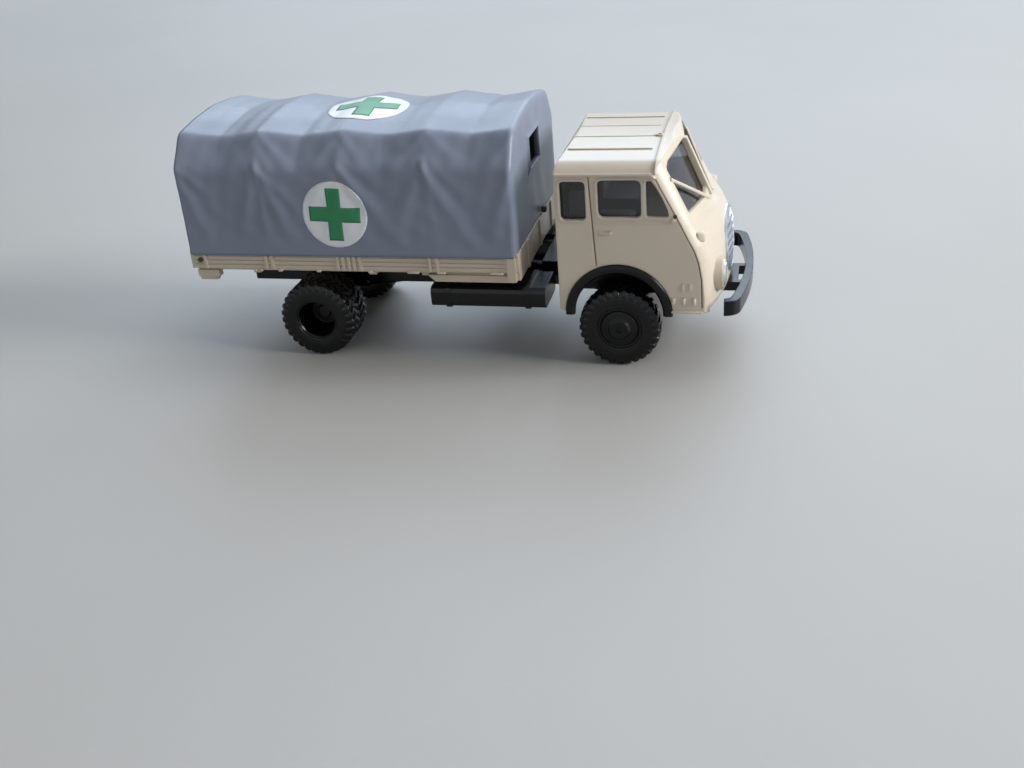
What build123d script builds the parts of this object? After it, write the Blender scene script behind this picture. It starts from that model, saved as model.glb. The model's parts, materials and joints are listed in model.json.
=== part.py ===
from build123d import *
import os
from math import acos, cos, pi, sin, tan

# Toy ambulance truck, forward control, two axles, with a moulded tilt over its load bed.
# All sizes are millimetres. X runs forward from the rear axle, Y to the left, Z up from the
# ground. Every piece is moved at the end so that the origin is under the middle of the truck.

# Overall layout
wheelbase = 42.5
rear_overhang = 17.0
front_overhang = 16.6
seat_gap = 0.02

# Wheels
wheel_radius = 5.4
lug_root_radius = 5.1
shoulder_tip_radius = 4.75
shoulder_root_radius = 4.5
rim_radius = 2.9
tyre_width = 3.0
tread_width = 2.0
track_half = 11.5
twin_spacing = 3.4
lug_count = 29
lug_share = 0.56
axle_radius = 0.6
running_clearance = 0.05
hub_depth = 1.2
rear_dish_depth = 2.0

# Chassis
rail_outer_y = 4.6
rail_width = 0.9
rail_bottom_z = 8.0
rail_height = 3.0
rail_rear_x = -12.2
rail_front_x = 54.4
cross_member_length = 0.8
cross_member_inset_z = 0.5
nose_length = 1.8
horn_y = 2.9
horn_width = 0.9
horn_bottom_z = 7.0
horn_height = 1.25
spring_half_length = 5.0
spring_width = 0.8
spring_y = 4.15
spring_pad = 0.9
spring_thickness = 0.8
housing_radius = 1.1
differential_radius = 1.9
knuckle_radius = 1.5
drive_shaft_radius = 0.4

# Load bed
bed_rear_x = -16.8
bed_front_x = 29.8
board_thickness = 0.6
bed_half_width = 13.6
floor_bottom_z = 12.9
floor_thickness = 0.8
board_bottom_z = 13.3
board_top_z = 15.85
headboard_bottom_z = 12.0
rib_depth = 0.22
rib_width = 0.42
plank_groove = 0.09

# Tilt
tilt_rear_x = -16.5
tilt_front_x = 29.7
tilt_wall = 0.6
tilt_hem_half_width = 13.9
bow_count = 5
window_half_width = 3.0
window_bottom_z = 23.95
window_top_z = 28.1

# Cab
cab_wall = 0.6
cab_rear_x = 34.8
drip_rail_z = 26.2
cab_half_width = 12.9
cab_bottom_z = 7.9
front_bottom_z = 8.4
cab_floor_z = 14.45
cab_floor_thickness = 0.6
arch_centre_z = 7.4
arch_outer_radius = 7.0
arch_wall = 0.45
arch_lip_radius = 5.75
arch_lip_width = 0.9
arch_lip_proud = 0.35
arch_inner_y = 9.0
glass_thickness = 0.35
glass_margin = 0.45

# Bumper
bumper_half_width = 12.9
bumper_thickness = 1.0
bumper_bottom_z = 7.6
bumper_height = 2.0
bumper_return = 3.2
bumper_bow = 1.5
bumper_corner_radius = 2.0

front_axle_x = wheelbase
rear_axle_x = 0.0
axle_z = wheel_radius
rail_top_z = rail_bottom_z + rail_height
rail_inner_y = rail_outer_y - rail_width
floor_top_z = floor_bottom_z + floor_thickness
bed_inner_half = bed_half_width - board_thickness
bumper_front_x = wheelbase + front_overhang
middle_x = (wheelbase + front_overhang - rear_overhang) / 2
EPS = 0.001


def block(x0, x1, y0, y1, z0, z1):
    """A plain rectangular solid between two corners."""
    size = Box(x1 - x0, y1 - y0, z1 - z0)
    return Pos((x0 + x1) / 2, (y0 + y1) / 2, (z0 + z1) / 2) * size


def closed_face(*edges):
    """The face that a closed chain of edges bounds."""
    return make_face(Curve() + list(edges))


def polygon(points, radius=0, chords=2):
    """A face with straight edges, whose corners are turned in a few chords round a radius."""
    if not radius:
        return make_face(Polyline(*points, close=True))
    corners = [Vector(*point) for point in points]
    outline = []
    for number, corner in enumerate(corners):
        back = (corners[number - 1] - corner).normalized()
        ahead = (corners[(number + 1) % len(corners)] - corner).normalized()
        half_angle = acos(max(-1, min(1, back.dot(ahead)))) / 2
        centre = corner + (back + ahead).normalized() * (radius / sin(half_angle))
        start = corner + back * (radius / tan(half_angle)) - centre
        end = corner + ahead * (radius / tan(half_angle)) - centre
        for step in range(chords + 1):
            share = step / chords
            spoke = (start * (1 - share) + end * share).normalized() * radius
            outline.append(centre + spoke)
    return make_face(Polyline(*outline, close=True))


def along_y(face, y0, y1):
    """Extrude a face drawn as (x, z) from y0 to y1."""
    return Pos(0, y1, 0) * extrude(Plane.XZ * face, amount=y1 - y0)


def along_x(face, x0, x1):
    """Extrude a face drawn as (y, z) from x0 to x1."""
    return Pos(x0, 0, 0) * extrude(Plane.YZ * face, amount=x1 - x0)


def along_z(face, z0, z1):
    """Extrude a face drawn as (x, y) from z0 to z1."""
    return Pos(0, 0, z0) * extrude(face, amount=z1 - z0)


def rod(radius, start, end):
    """A round bar between two points."""
    path = Vector(*end) - Vector(*start)
    plane = Plane(origin=start, z_dir=path)
    return extrude(plane * Circle(radius), amount=path.length)


def both_sides(solid):
    """A solid and its mirror image on the other side of the truck."""
    return [solid, mirror(solid, about=Plane.XZ)]


os.makedirs("parts", exist_ok=True)


def save(node, *pieces):
    """Write one node, moved so that the truck's middle is the origin."""
    solids = [solid for piece in pieces for solid in piece.solids()]
    group = Compound(children=[Pos(-middle_x, 0, 0) * solid for solid in solids])
    export_step(group, f"parts/{node}.step")


# Wheels

def lug_outline(y, tip, root, phase):
    """A wheel outline at y: lugs of equal pitch standing out between tip and root radius."""
    pitch = 2 * pi / lug_count
    points = []
    for step in range(lug_count):
        middle = (step + phase) * pitch
        for radius, angle in (
            (root, -lug_share * 0.62), (tip, -lug_share * 0.5),
            (tip, lug_share * 0.5), (root, lug_share * 0.62),
        ):
            turn = middle + angle * pitch
            points.append((radius * cos(turn), y, radius * sin(turn)))
    return make_face(Polyline(*points, close=True))


def tyre_solid(shoulders, phase):
    """A tyre: a straight tread, and on each listed side, -1 or 1, a sloping shoulder of lugs."""
    half = tyre_width / 2
    crown = tread_width / 2
    outlines = []
    for side in (-1, 1):
        if side in shoulders:
            edge = lug_outline(side * half, shoulder_tip_radius, shoulder_root_radius, phase)
            tread = lug_outline(side * crown, wheel_radius, lug_root_radius, phase)
            outlines += [edge, tread] if side < 0 else [tread, edge]
        else:
            outlines.append(lug_outline(side * half, wheel_radius, lug_root_radius, phase))
    bore = rod(rim_radius, (0, -tyre_width, 0), (0, tyre_width, 0))
    return loft(outlines, ruled=True) - bore


def front_rim_solid():
    """A disc with a ring groove and a raised hub cap that has a small centre hole."""
    bore = axle_radius + seat_gap
    shaft_end = hub_depth - 0.28
    section = polygon([
        (0, shaft_end), (bore, shaft_end), (bore, -hub_depth), (rim_radius, -hub_depth),
        (rim_radius, 1.36), (2.62, 1.36), (2.5, 1.18), (2.36, 1.42),
        (1.5, 1.6), (1.2, 1.92), (0.45, 1.92), (0.4, 1.6), (0, 1.6),
    ])
    return revolve(section, axis=Axis.Y)


def rear_rim_solid():
    """A deep bowl with a hub disc at its bottom, as wide as the twin tyre."""
    bore = axle_radius + seat_gap
    back = -(twin_spacing + hub_depth)
    bottom = -rear_dish_depth
    section = polygon([
        (0, bottom - 0.6), (bore, bottom - 0.6), (bore, back), (rim_radius, back),
        (rim_radius, 1.36), (2.72, 1.36), (2.55, 1.1), (2.15, bottom + 0.9),
        (1.85, bottom), (0.95, bottom), (0.85, bottom + 0.4), (0, bottom + 0.4),
    ])
    return revolve(section, axis=Axis.Y)


def place_wheel(solid, x, y):
    """Put a wheel piece on its axle, with its outer face away from the truck."""
    turned = solid if y > 0 else Rot(0, 0, 180) * solid
    return Pos(x, y, axle_z) * turned


# Each wheel piece: its solid, the axle it turns on and how far inward of the outer tyre it sits
wheel_pieces = (
    ("front_tyre", tyre_solid((1,), 0), front_axle_x, 0),
    ("front_rim", front_rim_solid(), front_axle_x, 0),
    ("rear_outer_tyre", tyre_solid((1,), 0), rear_axle_x, 0),
    ("rear_inner_tyre", tyre_solid((-1,), 0.5), rear_axle_x, twin_spacing),
    ("rear_rim", rear_rim_solid(), rear_axle_x, 0),
)
for name, solid, x, inward in wheel_pieces:
    for side_name, side in (("left", 1), ("right", -1)):
        save(f"{name}_{side_name}", place_wheel(solid, x, side * (track_half - inward)))

front_shaft_half = track_half + hub_depth - 0.28 - seat_gap
rear_shaft_half = track_half - rear_dish_depth - 0.6 - seat_gap
for name, x, half in (
    ("front_axle_shaft", front_axle_x, front_shaft_half),
    ("rear_axle_shaft", rear_axle_x, rear_shaft_half),
):
    save(name, rod(axle_radius, (x, -half, axle_z), (x, half, axle_z)))


# Axle housings and springs

def axle_housing(x, half_length, knuckle_length):
    """A tube with a differential, spring pads and, on the front axle, steering knuckles."""
    body = rod(housing_radius, (x, -half_length, axle_z), (x, half_length, axle_z))
    bulge = polygon([
        (0, -1.5), (housing_radius, -1.5), (differential_radius, -0.7),
        (differential_radius, 0.7), (housing_radius, 1.5), (0, 1.5),
    ])
    body += Pos(x, 0, axle_z) * revolve(bulge, axis=Axis.Y)
    pad_top = axle_z + spring_pad + 0.2
    for side in (1, -1):
        y = side * spring_y
        reach = spring_width / 2
        body += block(x - spring_pad, x + spring_pad, y - reach, y + reach, axle_z, pad_top)
        if knuckle_length:
            end = side * half_length
            body += rod(knuckle_radius, (x, end - side * knuckle_length, axle_z), (x, end, axle_z))
    bore = axle_radius + running_clearance
    return body - rod(bore, (x, -half_length - 1, axle_z), (x, half_length + 1, axle_z))


def leaf_spring(x, pad_top):
    """A leaf spring that bows down from the rail onto the axle's pad."""
    half = spring_half_length
    eye = 0.8
    top = rail_bottom_z
    face = closed_face(
        Line((x - half, top), (x - half + eye, top)),
        ThreePointArc((x - half + eye, top), (x, pad_top + spring_thickness), (x + half - eye, top)),
        Line((x + half - eye, top), (x + half, top)),
        Line((x + half, top), (x + half, top - eye / 2)),
        ThreePointArc((x + half, top - eye / 2), (x, pad_top), (x - half, top - eye / 2)),
        Line((x - half, top - eye / 2), (x - half, top)),
    )
    return along_y(face, spring_y - spring_width / 2, spring_y + spring_width / 2)


pad_top_z = axle_z + spring_pad + 0.2
save("front_axle_housing", axle_housing(front_axle_x, 9.6, 1.2))
save("rear_axle_housing", axle_housing(rear_axle_x, 6.3, 0))
save("front_springs", *both_sides(leaf_spring(front_axle_x, pad_top_z)))
save("rear_springs", *both_sides(leaf_spring(rear_axle_x, pad_top_z)))


# Frame

def chassis_frame():
    """Two rails, their cross members and the two horns that carry the bumper."""
    rail = block(rail_rear_x, rail_front_x, rail_inner_y, rail_outer_y, rail_bottom_z, rail_top_z)
    frame = rail + mirror(rail, about=Plane.XZ)
    low = rail_bottom_z + cross_member_inset_z
    high = rail_top_z - cross_member_inset_z
    half = cross_member_length / 2
    for x in (rail_rear_x + half, -6.0, 6.0, 15.0, 26.0, 33.0):
        frame += block(x - half, x + half, -rail_inner_y, rail_inner_y, low, high)
    frame += block(31.0, 33.6, -5.2, 5.2, rail_top_z - 0.5, rail_top_z + 0.65)
    nose_rear_x = rail_front_x - nose_length
    horn_top = horn_bottom_z + horn_height
    frame += block(nose_rear_x, rail_front_x, -rail_outer_y, rail_outer_y, horn_bottom_z, horn_top)
    for side in (1, -1):
        low_y = side * horn_y - horn_width / 2
        frame += block(nose_rear_x, bumper_front_x - bumper_thickness / 2,
                       low_y, low_y + horn_width, horn_bottom_z, horn_top)
    plate_front_x = bumper_front_x - bumper_thickness - 0.9
    return frame + block(rail_front_x, plate_front_x, -horn_y, horn_y, horn_top - 0.4, horn_top)


frame = chassis_frame()


def bumper_face(inset):
    """The bumper's plan outline, moved inwards by an inset."""
    half = bumper_half_width - inset
    end_x = bumper_front_x - bumper_return
    side_x = bumper_front_x - bumper_bow - inset
    front_x = bumper_front_x - inset
    back_x = end_x - (1 if inset else 0)
    face = closed_face(
        Line((back_x, -half), (side_x, -half)),
        ThreePointArc((side_x, -half), (front_x, 0), (side_x, half)),
        Line((side_x, half), (back_x, half)),
        Line((back_x, half), (back_x, -half)),
    )
    corners = face.vertices().group_by(Axis.X)[-1]
    return fillet(corners, bumper_corner_radius - inset)


bumper_plan = bumper_face(0) - bumper_face(bumper_thickness)
bumper = along_z(bumper_plan, bumper_bottom_z, bumper_bottom_z + bumper_height)
save("front_bumper", bumper)
save("chassis_frame", frame - bumper)


# Drive line under the frame

transfer_x = 20.0
engine_rear_x = 35.0
engine_front_x = rail_front_x - nose_length - 0.3
engine_half = rail_inner_y - seat_gap
engine_bottom_z = 7.0
shaft_joint_z = 7.9
engine = block(engine_rear_x, engine_front_x, -engine_half, engine_half, engine_bottom_z, rail_top_z)
front_clear = rod(differential_radius + 0.1, (front_axle_x, -1.6, axle_z), (front_axle_x, 1.6, axle_z))
front_clear += rod(housing_radius + 0.1, (front_axle_x, -6, axle_z), (front_axle_x, 6, axle_z))
save("engine_and_gearbox", engine - front_clear)
transfer = block(transfer_x - 1.8, transfer_x + 1.8, -rail_inner_y, rail_inner_y, 7.0, 9.6)
transfer = fillet(transfer.edges().filter_by(Axis.Y), 0.6)
save("transfer_case", transfer)
rear_diff = (rear_axle_x + differential_radius + seat_gap, 0, axle_z)
save(
    "drive_shafts",
    rod(drive_shaft_radius, (transfer_x - 1.8 - seat_gap, 0, shaft_joint_z), rear_diff),
    rod(drive_shaft_radius, (transfer_x + 1.8 + seat_gap, 1.6, shaft_joint_z),
        (engine_rear_x - seat_gap, 1.6, shaft_joint_z)),
)


# Boxes and hitch on the frame

def hanging_box(x0, x1, z0, z1, radius):
    """A box beside the right rail, with rounded long edges, two straps and two brackets."""
    outer_y = -13.6
    inner_y = -6.6
    face = polygon([(inner_y, z0), (outer_y, z0), (outer_y, z1), (inner_y, z1)], radius)
    body = along_x(face, x0, x1)
    strap_face = polygon([(inner_y + 0.15, z0 - 0.15), (outer_y - 0.15, z0 - 0.15),
                          (outer_y - 0.15, z1 + 0.15), (inner_y + 0.15, z1 + 0.15)], radius)
    for x in (x0 + 2.4, x1 - 2.4):
        body += along_x(strap_face, x - 0.35, x + 0.35)
        body += block(x - 0.5, x + 0.5, inner_y - 0.5, -rail_outer_y - seat_gap, z0 + 0.6, z1 - 0.5)
    return body


side_box = hanging_box(17.4, 33.0, 8.2, 11.0, 0.7)
save("side_tank_right", side_box)
save("side_box_left", mirror(hanging_box(19.6, 31.4, 8.0, 11.0, 0.35), about=Plane.XZ))

hitch_length = 3.0
hitch_plate_z = 9.4
hitch_plate_thickness = 0.6
hitch_pin_radius = 0.4
hitch_pin_length = 1.6
hitch_front_x = rail_rear_x - seat_gap
hitch_rear_x = hitch_front_x - hitch_length
hitch_plate_top = hitch_plate_z + hitch_plate_thickness
hitch = block(hitch_rear_x, hitch_front_x, -1.2, 1.2, hitch_plate_z, hitch_plate_top)
hitch += block(hitch_front_x - 0.4, hitch_front_x, -1.6, 1.6, hitch_plate_z, 10.5)
hitch += rod(hitch_pin_radius, (hitch_rear_x + 0.6, 0, hitch_plate_z + 0.1),
             (hitch_rear_x + 0.6, 0, hitch_plate_z - hitch_pin_length))
save("tow_hitch", hitch)


# Load bed

floor = block(bed_rear_x + board_thickness, bed_front_x - board_thickness - seat_gap,
              -bed_inner_half + seat_gap, bed_inner_half - seat_gap,
              floor_bottom_z, floor_top_z)
for side in (1, -1):
    low_y = side * rail_outer_y - (rail_width if side > 0 else 0)
    floor += block(rail_rear_x, bed_front_x - 2.0, low_y, low_y + rail_width,
                   rail_top_z, floor_bottom_z)
for x in (-15.5, -8.0, 9.0, 16.5, 24.0):
    floor += block(x - 0.5, x + 0.5, -12.0, 12.0, floor_bottom_z - 0.8, floor_bottom_z)
save("bed_floor", floor)


def side_board():
    """A side board with its ribs and the shallow joints between its planks."""
    board = block(bed_rear_x, bed_front_x, bed_inner_half, bed_half_width,
                  board_bottom_z, board_top_z)
    rib_top = board_top_z - 0.55
    ribs = [-14.6, -5.5, -4.6, 4.9, 5.7, 6.5, 7.25, 8.05, 17.8, 18.8]
    for z in (board_bottom_z + 0.62, board_bottom_z + 1.24, board_bottom_z + 1.86):
        board -= block(bed_rear_x + 0.6, bed_front_x - 1.9, bed_half_width - plank_groove,
                       bed_half_width + 1, z - 0.07, z + 0.07)
    for x in ribs:
        board += block(x - rib_width / 2, x + rib_width / 2, bed_half_width - 0.2,
                       bed_half_width + rib_depth, board_bottom_z, rib_top)
    post = block(bed_front_x - 1.6, bed_front_x - 0.4, bed_half_width - board_thickness,
                 bed_half_width + rib_depth, headboard_bottom_z, board_top_z - 0.2)
    return board + post


save("bed_side_left", side_board())
save("bed_side_right", mirror(side_board(), about=Plane.XZ))
tail_y = bed_inner_half - seat_gap
tailgate = block(bed_rear_x, bed_rear_x + board_thickness - seat_gap, -tail_y, tail_y,
                 board_bottom_z, board_top_z)
for y in (-9.0, -3.0, 3.0, 9.0):
    tailgate += block(bed_rear_x - rib_depth, bed_rear_x + 0.2, y - 0.4, y + 0.4,
                      board_bottom_z, board_top_z - 0.55)
save("tailgate", tailgate)
head_front = bed_front_x
headboard = block(head_front - board_thickness, head_front, -tail_y, tail_y,
                  headboard_bottom_z, board_top_z)
for y in (-8.0, 0.0, 8.0):
    headboard += block(head_front - 0.2, head_front + rib_depth, y - 0.45, y + 0.45,
                       headboard_bottom_z, board_top_z)
save("headboard", headboard)
locker_face = polygon([(17.2, 12.7), (18.2, 11.75), (28.1, 11.75), (28.1, 12.7)])
locker = along_y(locker_face, 12.55, 13.25)
locker += block(18.4, 28.1, 12.55, 13.0 - seat_gap, 12.6, floor_bottom_z - seat_gap)
save("lower_rails", *both_sides(locker - block(23.4, 24.6, 0, 12.6, 12, 13)))
lamp_bracket = block(-16.4, -13.2, 12.1, 13.2, 11.9, floor_bottom_z - seat_gap)
lamp_bracket += block(-16.2, -13.6, 12.3, 13.1, 11.4, 12.0)
save("rear_lamp_brackets", *both_sides(lamp_bracket))


# Tilt

def tilt_section(x, sag, inset):
    """The arch of the tilt at x: walls, two-part shoulders and a crowned roof, all straight."""
    low = board_top_z - 0.5 - (2 if inset else 0)
    half = [
        (tilt_hem_half_width - inset, low),
        (13.65 - inset - 0.22 * sag, 27.4 - 0.25 * inset - 0.25 * sag),
        (12.4 - 0.85 * inset - 0.3 * sag, 29.45 - 0.6 * inset - 0.5 * sag),
        (10.65 - 0.5 * inset - 0.35 * sag, 31.35 - 0.95 * inset - 0.72 * sag),
        (5.4 - 0.1 * inset, 32.12 - inset - 0.66 * sag),
    ]
    points = half + [(0, 32.5 - inset - 0.62 * sag)] + [(-y, z) for y, z in reversed(half)]
    return make_face(Polyline(*[(x, y, z) for y, z in points], close=True))


def tilt_body(inset, front_x, rear_x):
    """The whole tilt volume: high on the bows and sagging between them."""
    bay = (tilt_front_x - tilt_rear_x) / (bow_count - 1)
    stations = []
    for bow in range(bow_count):
        bow_x = tilt_rear_x + bow * bay
        stations.append((bow_x, 0))
        if bow < bow_count - 1:
            stations += [(bow_x + bay * 0.2, 0.68), (bow_x + bay * 0.5, 1),
                         (bow_x + bay * 0.8, 0.68)]
    stations[0] = (rear_x, 0)
    stations[-1] = (front_x, 0)
    return loft([tilt_section(x, sag, inset) for x, sag in stations], ruled=True)


tilt_outer = tilt_body(0, tilt_front_x, tilt_rear_x)
tilt_inner = tilt_body(tilt_wall, tilt_front_x - tilt_wall, tilt_rear_x - 1)
tilt = tilt_outer - tilt_inner
tilt -= block(bed_rear_x - 2, bed_front_x + 2, -bed_half_width - rib_depth - 0.03,
              bed_half_width + rib_depth + 0.03, board_top_z - 3, board_top_z - 0.15)
tilt -= block(bed_rear_x - 2, bed_front_x + 2, -bed_half_width - 0.02,
              bed_half_width + 0.02, board_top_z - 3, board_top_z + seat_gap)
window_face = polygon([
    (-window_half_width, window_bottom_z), (window_half_width, window_bottom_z),
    (window_half_width, window_top_z), (-window_half_width, window_top_z),
])
tilt -= along_x(window_face, tilt_front_x - 2, tilt_front_x + 1)
flap_x = tilt_rear_x + 0.95
flap = rod(0.8, (flap_x, -10.4, 30.2), (flap_x, 10.4, 30.2))
flap += block(flap_x - 0.2, flap_x + 0.2, -10.2, 10.2, 30.2, 33)
save("canvas_tilt", tilt + (flap & tilt_outer))


# Cab

# Height, side edge x, corner x, centre x and how far the front arcs between them
cab_levels = [
    (6.0, 53.45, 54.30, 56.00, 0.35),
    (10.0, 53.50, 54.45, 56.22, 0.35),
    (13.0, 53.15, 54.25, 56.35, 0.35),
    (15.0, 52.75, 53.95, 56.22, 0.35),
    (16.8, 52.05, 53.35, 55.95, 0.35),
    (18.0, 51.40, 52.75, 55.45, 0.35),
    (18.9, 50.95, 52.25, 54.70, 0.30),
    (19.6, 50.65, 51.90, 53.25, 0.15),
    (28.6, 45.95, 47.45, 49.35, 0.03),
]
cab_corner_y = 11.5


def cab_section(level, inset):
    """A horizontal slice of the cab: straight sides, rounded corners and two front arcs."""
    z, side_x, corner_x, centre_x, bow = level
    rear = cab_rear_x + inset
    half = cab_half_width - inset
    corner_y = cab_corner_y - inset * 0.6
    side_x, corner_x, centre_x = side_x - inset * 0.6, corner_x - inset, centre_x - inset
    mid = ((side_x + corner_x) / 2 + 0.12, (half + corner_y) / 2 + 0.08)
    front = ((corner_x + centre_x) / 2 + bow, corner_y / 2)
    return closed_face(
        Line((rear, half, z), (rear, -half, z)),
        Line((rear, -half, z), (side_x, -half, z)),
        ThreePointArc((side_x, -half, z), (mid[0], -mid[1], z), (corner_x, -corner_y, z)),
        ThreePointArc((corner_x, -corner_y, z), (front[0], -front[1], z), (centre_x, 0, z)),
        ThreePointArc((centre_x, 0, z), (front[0], front[1], z), (corner_x, corner_y, z)),
        ThreePointArc((corner_x, corner_y, z), (mid[0], mid[1], z), (side_x, half, z)),
        Line((side_x, half, z), (rear, half, z)),
    )


def roof_face(inset):
    """The cab seen from the front: upright sides under a crowned roof with round edges."""
    half = cab_half_width + 1 - inset
    edge_z = 26.35 - inset
    side = cab_half_width - inset
    return closed_face(
        Line((-half, 5), (half, 5)),
        Line((half, 5), (half, edge_z)),
        Line((half, edge_z), (side, edge_z)),
        ThreePointArc((side, edge_z), (side - 0.75, edge_z + 0.75), (side - 2.2, edge_z + 1.2)),
        ThreePointArc((side - 2.2, edge_z + 1.2), (0, edge_z + 1.75), (-side + 2.2, edge_z + 1.2)),
        ThreePointArc((-side + 2.2, edge_z + 1.2), (-side + 0.75, edge_z + 0.75), (-side, edge_z)),
        Line((-side, edge_z), (-half, edge_z)),
        Line((-half, edge_z), (-half, 5)),
    )


def profile_face(inset):
    """The cab seen from the side, with the roof rounded off at its back and front."""
    rear = cab_rear_x + inset
    top = 28.3 - inset
    return closed_face(
        Line((rear, 5), (58, 5)),
        Line((58, 5), (58, 26.2)),
        Line((58, 26.2), (50.6 - inset, 27.0 - inset)),
        ThreePointArc((50.6 - inset, 27.0 - inset), (48.9 - inset, 27.95 - inset), (46.4, top)),
        Line((46.4, top), (rear + 2.0, top)),
        ThreePointArc((rear + 2.0, top), (rear + 0.6, top - 0.6), (rear, top - 1.9)),
        Line((rear, top - 1.9), (rear, 5)),
    )


def cab_volume(inset):
    """The cab's outer or inner volume, all its walls moved inwards by an inset."""
    volume = loft([cab_section(level, inset) for level in cab_levels], ruled=True)
    volume &= along_x(roof_face(inset), 30, 60)
    return volume & along_y(profile_face(inset), -15, 15)


# Window outlines: side windows as (x, z), the right half of the windscreen as (y, z)
quarter_window = [(35.45, 20.3), (38.75, 20.3), (38.75, 25.35), (35.45, 25.35)]
door_window = [(40.25, 20.65), (45.7, 20.65), (45.7, 25.5), (40.25, 25.5)]
vent_window = [
    (46.3, 20.75), (49.15, 20.75), (48.95, 21.7), (48.3, 23.2),
    (47.45, 24.75), (46.95, 25.4), (46.3, 25.4),
]
screen_window = [(0.5, 20.5), (2.6, 20.0), (11.2, 20.6), (11.0, 26.35), (9.6, 26.85), (0.5, 27.3)]
side_windows = ((quarter_window, 0.5), (door_window, 0.6), (vent_window, 0.25))


def grown(points, margin, radius):
    """A window outline, rounded, with a margin added all round."""
    face = polygon(points, radius)
    return offset(face, margin) if margin else face


def window_prisms(margin):
    """Solids that cross the walls at every window."""
    prisms = []
    for points, radius in side_windows:
        prisms.append(along_y(grown(points, margin, radius), -15, 15))
    screen = along_x(grown(screen_window, margin, 0.35), 47.0, 58)
    return prisms + both_sides(screen)


cab_outer = cab_volume(0)
cab_inner = cab_volume(cab_wall)
cab = cab_outer - cab_inner
for prism in window_prisms(0):
    cab -= prism
arch_cut = Pos(front_axle_x, 0, arch_centre_z) * Rot(90, 0, 0) * Cylinder(
    arch_outer_radius + seat_gap, 40)
cab -= arch_cut
cab -= block(30, 60, -20, 20, 0, cab_bottom_z)
cab -= block(front_axle_x, 60, -12.2, 12.2, 0, front_bottom_z)
cab -= block(front_axle_x - arch_outer_radius, front_axle_x + arch_outer_radius, -20, 20,
             0, arch_centre_z + 0.3)
cab -= block(cab_rear_x - 1, cab_rear_x + 2, -rail_outer_y - 0.5, rail_outer_y + 0.5, 0,
             rail_top_z + 0.4)


# Headlamp drums, wiper arms and mouldings that stand out of the cab's skin
lamp_y = 8.7
lamp_z = 11.9
lamp_radius = 1.75
lamp_drum_radius = 2.3
lamp_face_x = 55.6
lamp_seat_depth = 0.3
grille_half_width = 5.4
grille_half_height = 4.5
grille_z = 13.6
grille_trim = 0.55
grille_recess = 0.3
bar_count = 7
bar_height = 0.5
bar_pitch = 2 * (grille_half_height - grille_trim) / (bar_count + 1)


def skin_shell(outer, inner):
    """The layer of the cab between two insets; a negative inset lies outside its skin."""
    return cab_volume(outer) - (cab_outer if inner == 0 else cab_volume(inner))


proud_shell = skin_shell(-0.14, 0)
details = []
drip_y = cab_half_width - 0.1
drip = block(cab_rear_x + 0.1, 46.9, drip_y, drip_y + 0.45, drip_rail_z - 0.14, drip_rail_z + 0.16)
drip_end = polygon([(46.6, 26.36), (46.95, 26.36), (47.5, 25.75), (47.3, 25.55), (46.6, 26.06)])
drip += along_y(drip_end, drip_y, drip_y + 0.4)
details += both_sides(drip)
for y, top in ((2.5, 28.12), (7.5, 27.95)):
    rib = block(35.9, 46.6, y - 0.2, y + 0.2, 27.0, top)
    details += both_sides(rib - cab_inner)
details.append(proud_shell & block(47.35, 47.6, -13, 13, 26.2, 30))
vent = Pos(46.9, -2.4, 27.5) * Cylinder(0.5, 1.5) - Pos(46.9, -2.4, 28.0) * Cylinder(0.3, 0.6)
details.append(vent - cab_inner)
handle_y = cab_half_width - 0.1
handle = block(40.3, 41.9, handle_y + 0.2, handle_y + 0.42, 18.5, 18.82)
for x in (40.45, 41.75):
    handle += block(x - 0.16, x + 0.16, handle_y, handle_y + 0.42, 18.46, 18.86)
details += both_sides(handle)
bead_space = block(30, 52, 12.5, 12.98, 19, 27) + block(30, 52, -12.98, -12.5, 19, 27)
for points, radius in side_windows:
    frame_face = offset(polygon(points, radius), 0.3) - polygon(points, radius)
    bead = along_y(frame_face, -15, 15)
    details.append(bead & bead_space)
sill = block(39.9, 50.3, handle_y, cab_half_width + 0.06, 19.85, 20.05)
details += both_sides(sill)
for x in (49.4, 50.7, 52.0):
    details += both_sides(block(x, x + 0.35, handle_y, cab_half_width + 0.14, 9.1, 10.0))
for x in (50.6, 51.5):
    details += both_sides(block(x, x + 0.3, handle_y, cab_half_width + 0.1, 10.9, 11.9))
details += both_sides(rod(0.28, (49.55, handle_y, 20.3), (49.55, cab_half_width + 0.22, 20.3)))
details += both_sides(block(51.3, 52.55, 10.9, 11.8, 17.2, 18.4) - cab_inner)
wiper = rod(0.24, (49.1, -11.5, 25.15), (53.35, -1.6, 19.45))
details += both_sides(wiper)
details.append(skin_shell(-0.3, 0) & block(45, 56, -0.5, 0.5, 19.6, 27.2))
for side in (1, -1):
    drum = rod(lamp_drum_radius, (52.5, side * lamp_y, lamp_z), (lamp_face_x, side * lamp_y, lamp_z))
    details.append(drum - cab_inner)
for detail in details:
    cab += detail
shut_face = polygon([(39.1, 25.9), (39.28, 25.9), (39.88, 14.2), (39.7, 14.2)])
seam_points = [
    (47.45, 25.6), (50.2, 20.3), (51.35, 17.9), (52.2, 16.3),
    (52.75, 14.6), (53.1, 12.4), (53.2, 8.6),
]
seam_back = [(x - 0.1, z) for x, z in seam_points]
seam_front = [(x + 0.06, z) for x, z in seam_points]
seam_face = polygon(seam_back + seam_front[::-1])
for face in (shut_face, seam_face):
    for groove in both_sides(along_y(face, cab_half_width - 0.14, cab_half_width + 1)):
        cab -= groove
for side in (1, -1):
    seat = rod(lamp_radius + seat_gap, (lamp_face_x - lamp_seat_depth, side * lamp_y, lamp_z),
               (60, side * lamp_y, lamp_z))
    cab -= seat
field_half_width = grille_half_width - grille_trim
field_half_height = grille_half_height - grille_trim
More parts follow.
